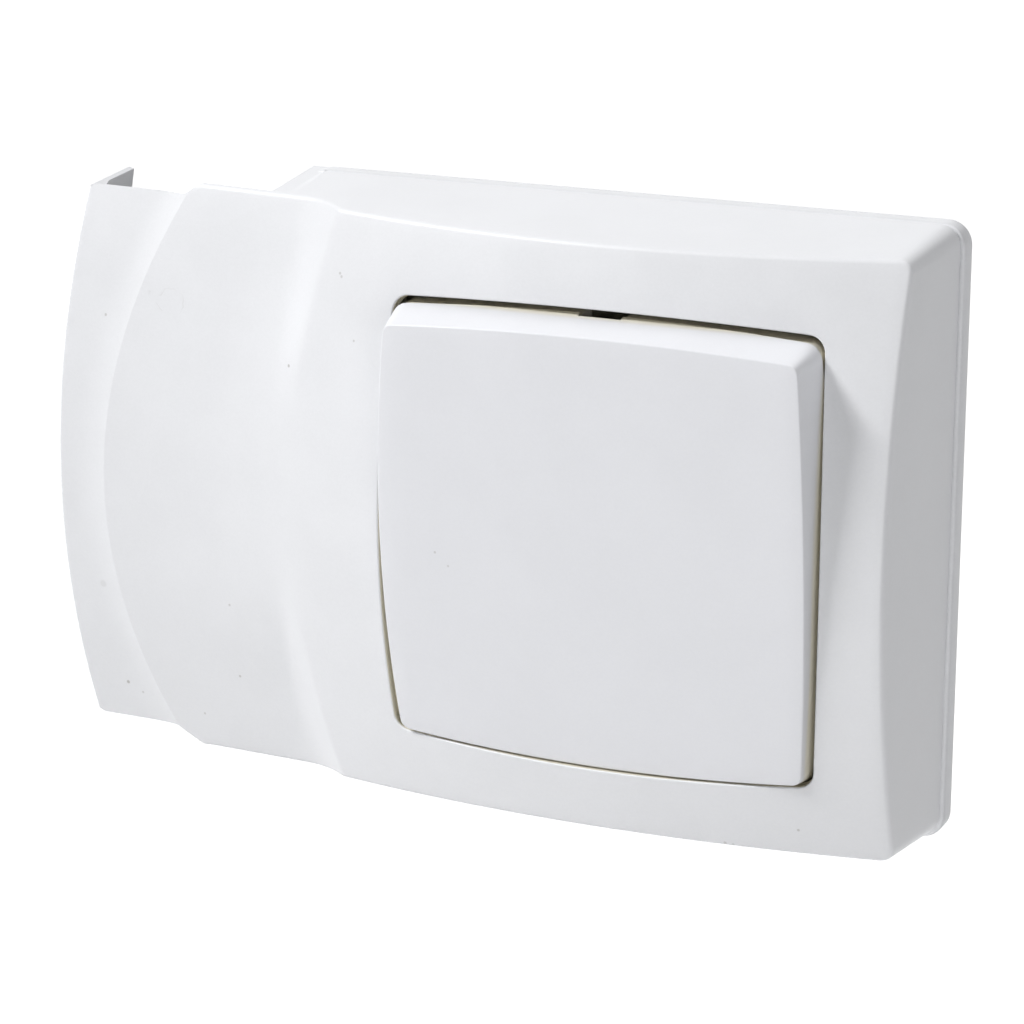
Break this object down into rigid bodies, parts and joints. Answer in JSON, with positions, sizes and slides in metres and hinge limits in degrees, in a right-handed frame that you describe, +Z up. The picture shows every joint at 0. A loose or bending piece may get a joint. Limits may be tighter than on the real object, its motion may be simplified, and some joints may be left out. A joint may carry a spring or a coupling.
{
  "type": "surface-mounted rocker light switch",
  "caption": "White surface-mounted light switch: square domed cover with a large tilting rocker key, its left side running on as a stepped bridge over wall trunking.",
  "frame": {"origin": "middle of the square cover, on the wall plane, midway between the two fixing slots", "axes": "+X to the right, +Y into the wall, +Z up the wall; the front faces -Y"},
  "size_m": [0.1283, 0.0303, 0.0844],
  "materials": {
    "cover_plastic": "satin",
    "key_plastic": "satin",
    "base_plastic": "satin",
    "carrier_plastic": "matt",
    "mechanism_plastic": "matt",
    "plunger_plastic": "smooth",
    "brass": "rolled",
    "contact_silver": "smooth",
    "zinc_steel": "zinc plated",
    "spring_steel": "drawn wire"
  },
  "bodies": {
    "base": {"wall_base": "base_plastic", "front_frame": "cover_plastic", "carrier_plate": "carrier_plastic", "carrier_screws": "zinc_steel", "pivot_bracket": "mechanism_plastic", "switch_housing": "mechanism_plastic", "fixed_contacts": "contact_silver", "common_strip": "brass", "way_one_strip": "brass", "way_two_strip": "brass", "common_cage": "zinc_steel", "way_one_cage": "zinc_steel", "way_two_cage": "zinc_steel", "clamp_screws": "zinc_steel"},
    "rocker": {"rocker_key": "key_plastic", "rocker_cradle": "mechanism_plastic", "plunger_spring": "spring_steel"},
    "plunger": {"plunger": "plunger_plastic"},
    "seesaw": {"contact_seesaw": "brass", "moving_contacts": "contact_silver"}
  },
  "joints": [
    {"name": "rocker_tilt", "type": "hinge", "parent": "base", "child": "rocker", "pos_m": [0, -0.015, 0], "axis": [1, 0, 0], "range_deg": [-11, 0]},
    {"name": "seesaw_tilt", "type": "hinge", "parent": "base", "child": "seesaw", "pos_m": [0, -0.0084, 0], "axis": [1, 0, 0], "range_deg": [0, 15]},
    {"name": "plunger_slide", "type": "slide", "parent": "rocker", "child": "plunger", "axis": [0, -0.9954, -0.0958], "range_m": [0, 0.0008], "stiffness_N_per_m": 400, "springref_m": -0.002, "deforming": ["plunger_spring"]}
  ],
  "couplings": [
    {"joint": "seesaw_tilt", "follows": "rocker_tilt", "ratio": -1.3636}
  ]
}
